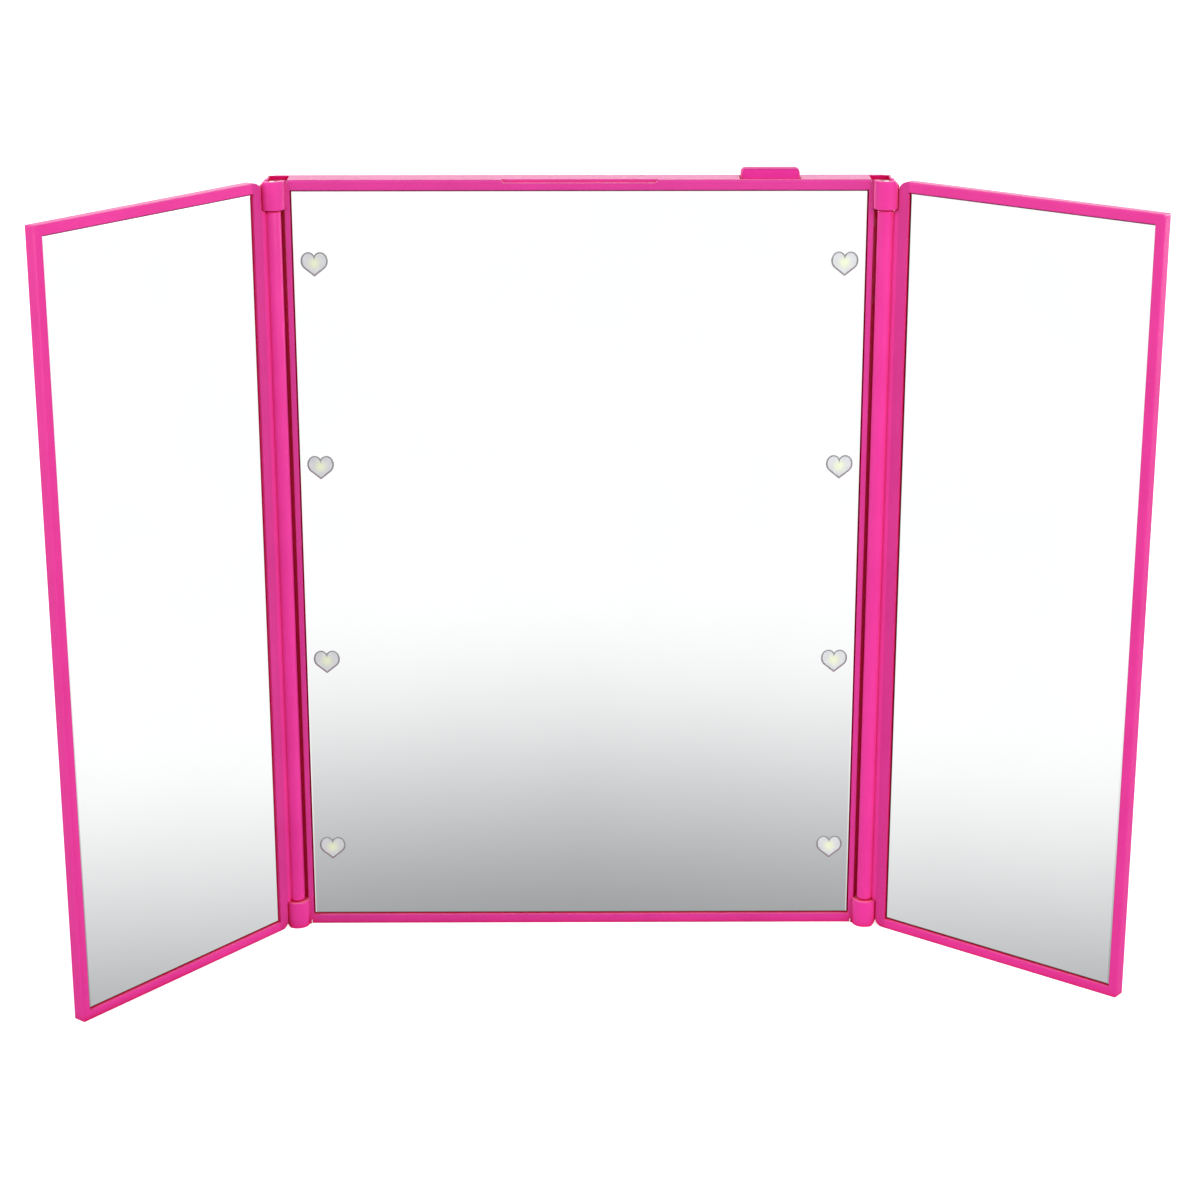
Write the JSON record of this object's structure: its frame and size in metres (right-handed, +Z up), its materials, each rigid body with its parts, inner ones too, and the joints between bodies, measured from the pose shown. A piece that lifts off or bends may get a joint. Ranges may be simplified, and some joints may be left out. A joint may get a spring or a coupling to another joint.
{
  "type": "trifold vanity mirror",
  "caption": "Free-standing folding vanity mirror: a lit centre mirror with a push button on top and side mirrors on pin hinges that close over it like doors.",
  "frame": {"origin": "middle of the centre case's flat bottom face, which stands on the table", "axes": "+Z up, +X to the viewer's right along the row of mirrors, mirrors face -Y"},
  "size_m": [0.2264, 0.0577, 0.1741],
  "materials": {
    "pink_shell": "satin moulded hot pink",
    "pink_button": "satin moulded hot pink, a little deeper",
    "mirror_sheet": "silvered sheet",
    "frosted_window": "frosted, translucent",
    "foam_tape": "adhesive foam",
    "circuit_board": "green solder mask",
    "led": "yellow phosphor",
    "black_plastic": "matte",
    "white_plastic": "matte",
    "steel": "bright plated",
    "contact_metal": "spring contact strip",
    "wire": "insulated wire"
  },
  "bodies": {
    "center": {"center_frame": "pink_shell", "back_cover": "pink_shell", "center_mirror": "mirror_sheet", "center_tape": "foam_tape", "heart_windows_left": "frosted_window", "heart_windows_right": "frosted_window", "led_board_left": "circuit_board", "led_board_right": "circuit_board", "leds_left": "led", "leds_right": "led", "switch_board": "circuit_board", "resistors": "black_plastic", "switch_housing": "black_plastic", "cell_left": "steel", "cell_right": "steel", "contact_left": "contact_metal", "contact_right": "contact_metal", "wires": "wire", "cover_screws": "steel", "left_hinge_pins": "steel", "right_hinge_pins": "steel"},
    "left_wing": {"left_wing_frame": "pink_shell", "left_wing_mirror": "mirror_sheet", "left_wing_tape": "foam_tape"},
    "right_wing": {"right_wing_frame": "pink_shell", "right_wing_mirror": "mirror_sheet", "right_wing_tape": "foam_tape"},
    "button": {"power_button": "pink_button", "switch_plunger": "white_plastic"},
    "door": {"battery_door": "pink_shell", "contact_bridge": "contact_metal"}
  },
  "joints": [
    {"name": "left_wing_hinge", "type": "hinge", "parent": "center", "child": "left_wing", "pos_m": [-0.06505, -0.004, 0], "axis": [0, 0, 1], "range_deg": [-50.7, 129.3]},
    {"name": "right_wing_hinge", "type": "hinge", "parent": "center", "child": "right_wing", "pos_m": [0.06505, -0.004, 0], "axis": [0, 0, -1], "range_deg": [-37.8, 142.2]},
    {"name": "power_press", "type": "slide", "parent": "center", "child": "button", "axis": [0, 0, -1], "range_m": [0, 0.0009], "stiffness_N_per_m": 900, "springref_m": -0.001},
    {"name": "battery_door_slide", "type": "slide", "parent": "center", "child": "door", "axis": [0, 0, -1], "range_m": [0, 0.032]}
  ]
}
